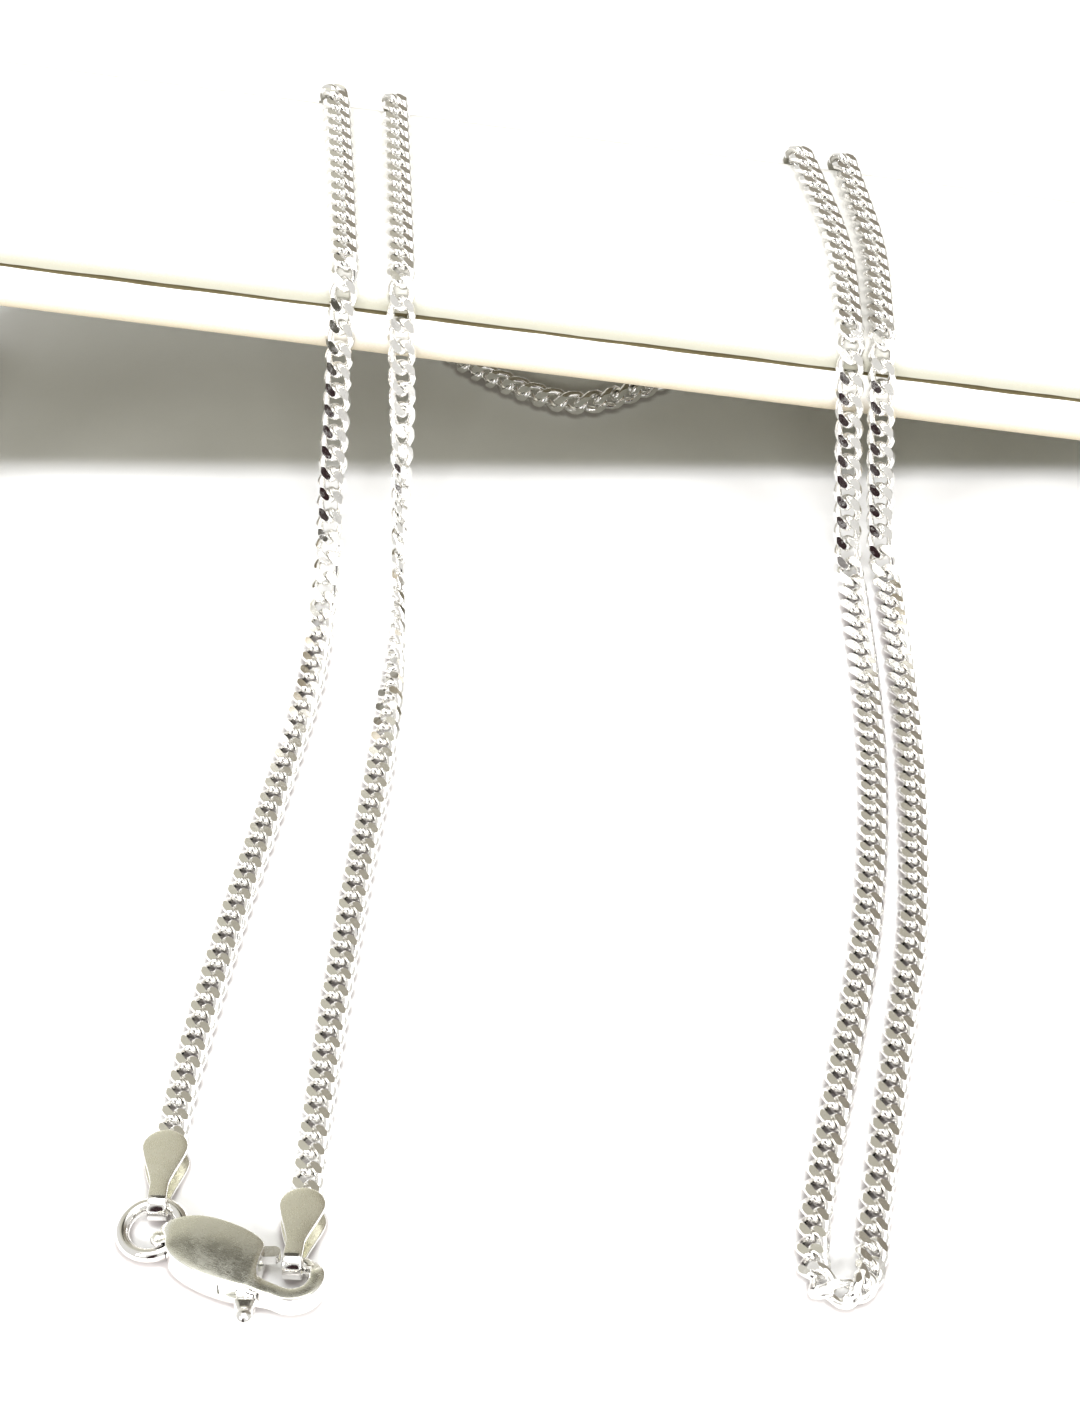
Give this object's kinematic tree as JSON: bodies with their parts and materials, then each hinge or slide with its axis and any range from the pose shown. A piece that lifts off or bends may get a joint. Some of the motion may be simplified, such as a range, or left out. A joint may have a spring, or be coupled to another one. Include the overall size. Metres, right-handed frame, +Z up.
{
  "type": "curb chain necklace on a display board",
  "caption": "Polished silver curb chain necklace with a lobster clasp, doubled over a low white display board and lying on the floor in front of it.",
  "frame": {"origin": "on the floor, at the middle of the whole thing's box", "axes": "+X to the right along the board, +Y away from the viewer towards the board, +Z up"},
  "size_m": [0.1008, 0.1156, 0.0271],
  "materials": {
    "chain_silver": "polished and diamond cut silver",
    "polished_silver": "polished silver",
    "satin_silver": "satin silver with polished sides",
    "board_white": "smooth white lacquered card"
  },
  "bodies": {
    "root": {"chain_outer": "chain_silver", "chain_inner": "chain_silver", "end_cap_left": "polished_silver", "end_cap_right": "polished_silver", "jump_ring": "polished_silver", "clasp_body": "satin_silver", "clasp_pin": "polished_silver", "board_upper": "board_white", "board_lower": "board_white", "foot_left": "board_white", "foot_right": "board_white"},
    "lever": {"clasp_lever": "polished_silver"}
  },
  "joints": [
    {"name": "lever_hinge", "type": "hinge", "parent": "root", "child": "lever", "pos_m": [-0.01751, -0.0527, 0.00118], "axis": [0, 0, -1], "range_deg": [0, 25], "stiffness_Nm_per_rad": 0.003, "springref_deg": -22.92}
  ]
}
